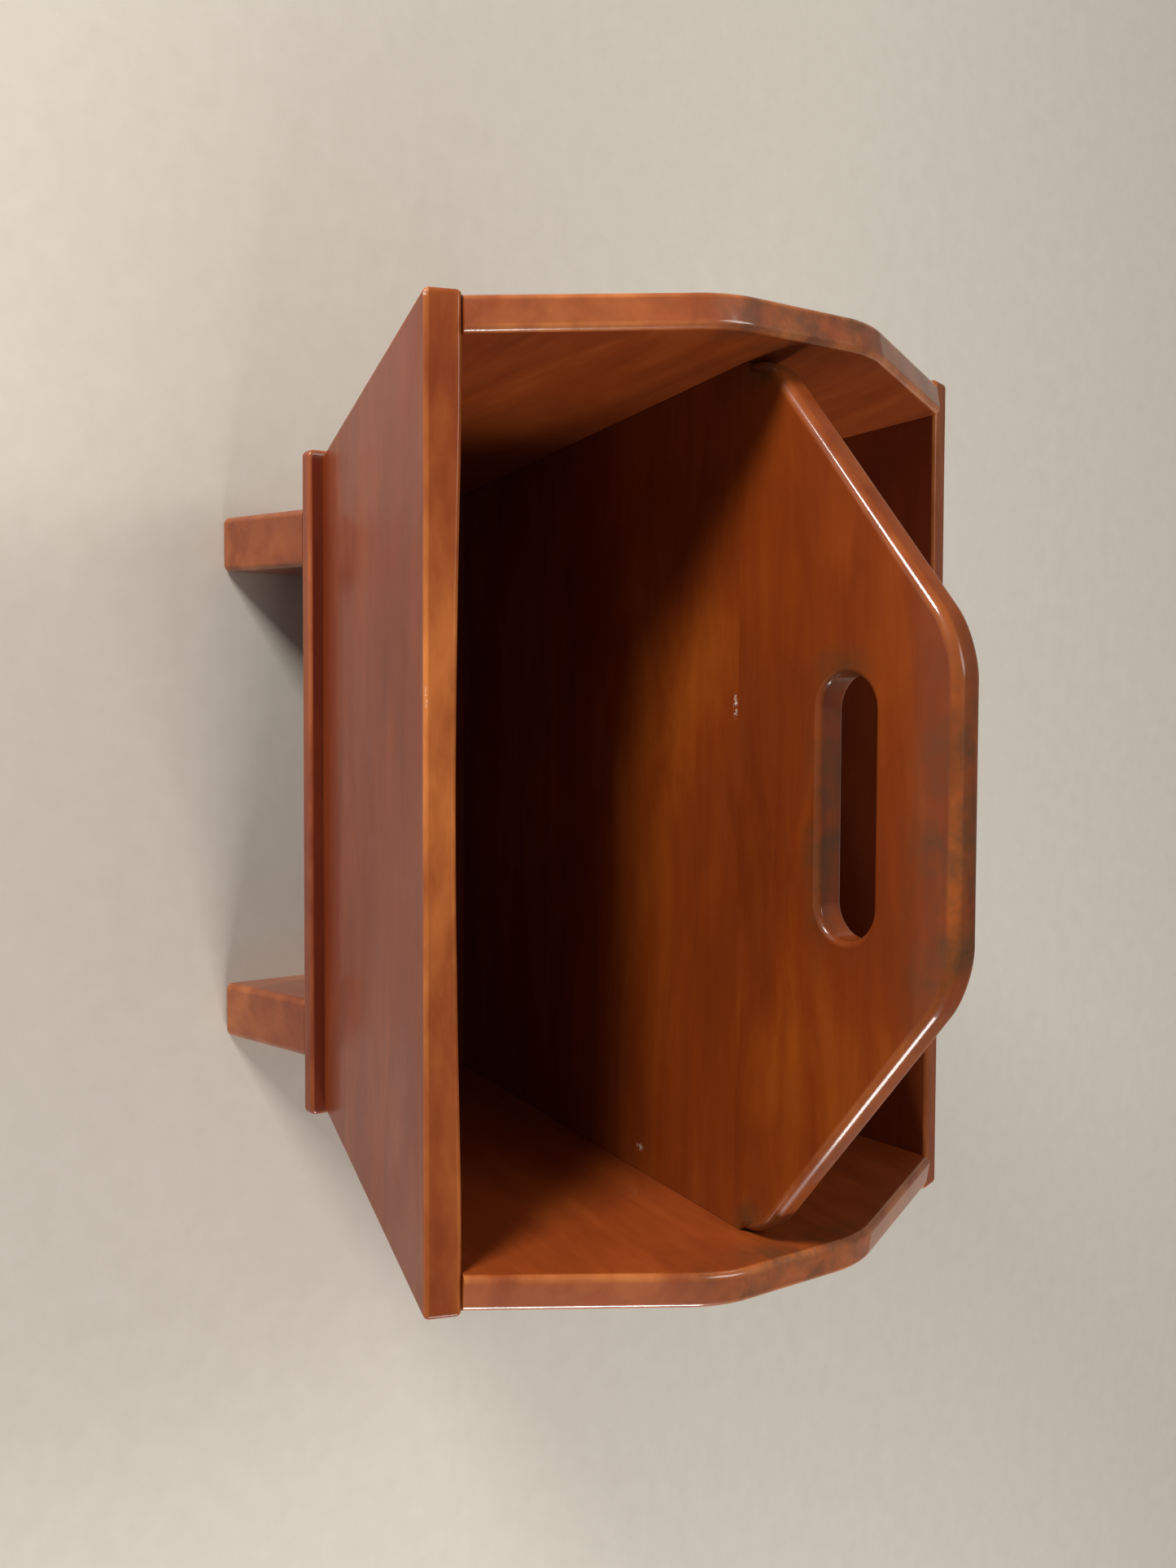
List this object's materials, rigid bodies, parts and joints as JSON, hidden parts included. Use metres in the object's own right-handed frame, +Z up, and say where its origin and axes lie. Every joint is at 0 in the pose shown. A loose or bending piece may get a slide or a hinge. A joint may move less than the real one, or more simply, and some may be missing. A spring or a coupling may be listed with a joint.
{
  "type": "magazine rack",
  "caption": "Wooden magazine rack: outward-leaning trough split by a tall centre divider with a hand slot, on a thin ledged base plate and board feet.",
  "frame": {"origin": "on the floor under the middle of the rack", "axes": "+Z up, +X along the trough to the right, -Y towards the front"},
  "size_m": [0.4462, 0.3346, 0.468],
  "materials": {
    "lacquered_cherry": "semi-gloss lacquer over red-brown stain",
    "lacquered_cherry_divider": "semi-gloss lacquer over red-brown stain, warmer and lighter",
    "lacquered_cherry_dark": "semi-gloss lacquer over darker red-brown stain",
    "bare_birch": "bare turned dowel",
    "screw_steel": "plain steel"
  },
  "bodies": {
    "root": {"front_panel": "lacquered_cherry", "back_panel": "lacquered_cherry", "left_end_panel": "lacquered_cherry", "right_end_panel": "lacquered_cherry", "center_divider": "lacquered_cherry_divider", "floor_board": "lacquered_cherry_dark", "base_plate": "lacquered_cherry_dark", "left_foot": "lacquered_cherry", "right_foot": "lacquered_cherry", "front_left_corner_dowel_1": "bare_birch", "front_left_corner_dowel_2": "bare_birch", "front_left_corner_dowel_3": "bare_birch", "front_right_corner_dowel_1": "bare_birch", "front_right_corner_dowel_2": "bare_birch", "front_right_corner_dowel_3": "bare_birch", "back_left_corner_dowel_1": "bare_birch", "back_left_corner_dowel_2": "bare_birch", "back_left_corner_dowel_3": "bare_birch", "back_right_corner_dowel_1": "bare_birch", "back_right_corner_dowel_2": "bare_birch", "back_right_corner_dowel_3": "bare_birch", "divider_left_dowel_1": "bare_birch", "divider_left_dowel_2": "bare_birch", "divider_right_dowel_1": "bare_birch", "divider_right_dowel_2": "bare_birch", "front_floor_dowel_1": "bare_birch", "front_floor_dowel_2": "bare_birch", "back_floor_dowel_1": "bare_birch", "back_floor_dowel_2": "bare_birch", "left_front_foot_screw": "screw_steel", "left_back_foot_screw": "screw_steel", "right_front_foot_screw": "screw_steel", "right_back_foot_screw": "screw_steel", "left_front_base_screw": "screw_steel", "left_back_base_screw": "screw_steel", "right_front_base_screw": "screw_steel", "right_back_base_screw": "screw_steel", "left_divider_screw": "screw_steel", "right_divider_screw": "screw_steel"}
  },
  "joints": []
}
